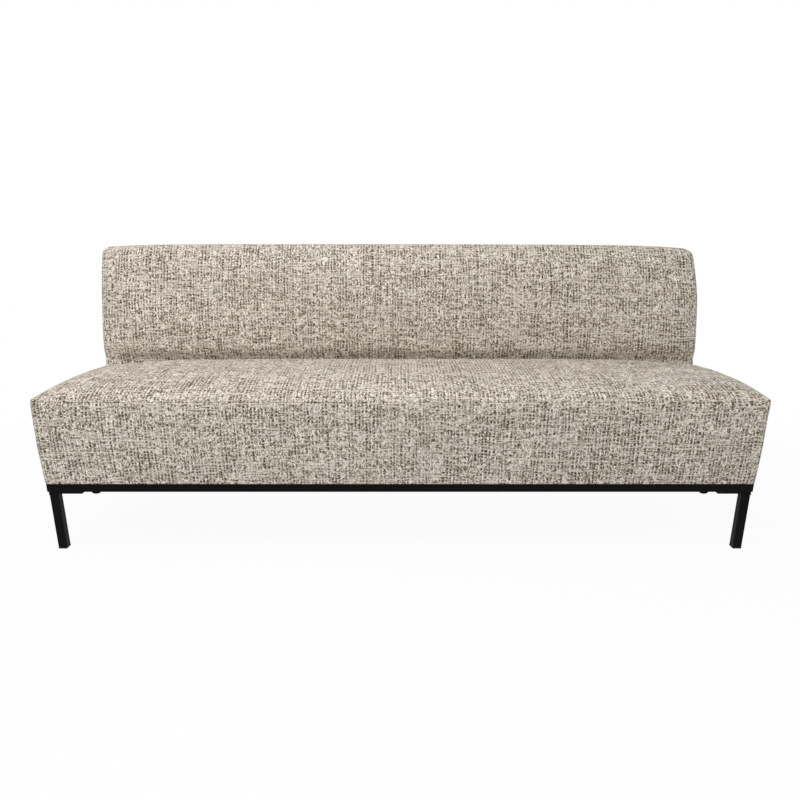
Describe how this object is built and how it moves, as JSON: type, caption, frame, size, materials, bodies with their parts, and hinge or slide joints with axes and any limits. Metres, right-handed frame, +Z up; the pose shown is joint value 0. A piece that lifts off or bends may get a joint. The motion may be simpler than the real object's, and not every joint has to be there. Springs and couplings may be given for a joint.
{
  "type": "upholstered bench",
  "caption": "Long armless upholstered bench with a padded leaning back, standing on a low black square tube steel frame.",
  "frame": {"origin": "centre of the bench's box at floor level, between the four legs", "axes": "+Z up, +X along the bench to the right as seen from the front, -Y the way a sitter faces"},
  "size_m": [2.018, 0.6826, 0.835],
  "materials": {
    "woven_fabric": "matte",
    "black_powder_coat": "satin",
    "black_nylon": "matte",
    "zinc_plated_steel": "satin",
    "softwood": "matte",
    "plywood": "matte",
    "hardboard": "matte",
    "upholstery_foam": "matte",
    "elastic_webbing": "matte",
    "dust_cloth": "matte"
  },
  "bodies": {
    "root": {"front_rail": "black_powder_coat", "rear_rail": "black_powder_coat", "left_end_rail": "black_powder_coat", "right_end_rail": "black_powder_coat", "centre_rail": "black_powder_coat", "front_left_leg": "black_powder_coat", "front_right_leg": "black_powder_coat", "rear_left_leg": "black_powder_coat", "rear_right_leg": "black_powder_coat", "front_left_leg_plate": "black_powder_coat", "front_right_leg_plate": "black_powder_coat", "rear_left_leg_plate": "black_powder_coat", "rear_right_leg_plate": "black_powder_coat", "front_left_glide": "black_nylon", "front_right_glide": "black_nylon", "rear_left_glide": "black_nylon", "rear_right_glide": "black_nylon", "leg_plate_screws": "zinc_plated_steel", "leg_plate_nuts": "zinc_plated_steel", "frame_bolts": "black_powder_coat", "frame_bolt_washers": "black_powder_coat", "frame_bolt_inserts": "zinc_plated_steel", "seat_front_timber": "softwood", "seat_rear_timber": "softwood", "seat_left_timber": "softwood", "seat_right_timber": "softwood", "seat_inner_left_timber": "softwood", "seat_inner_right_timber": "softwood", "seat_corner_blocks": "softwood", "seat_cross_webbing": "elastic_webbing", "seat_long_webbing": "elastic_webbing", "seat_foam": "upholstery_foam", "seat_cover": "woven_fabric", "seat_dust_cover": "dust_cloth", "back_bottom_timber": "softwood", "back_top_timber": "softwood", "back_left_rib": "plywood", "back_inner_left_rib": "plywood", "back_centre_rib": "plywood", "back_inner_right_rib": "plywood", "back_right_rib": "plywood", "back_webbing": "elastic_webbing", "back_lower_panel": "hardboard", "back_upper_panel": "hardboard", "back_foam": "upholstery_foam", "back_cover": "woven_fabric", "back_bolts": "zinc_plated_steel", "back_bolt_inserts": "zinc_plated_steel"}
  },
  "joints": []
}
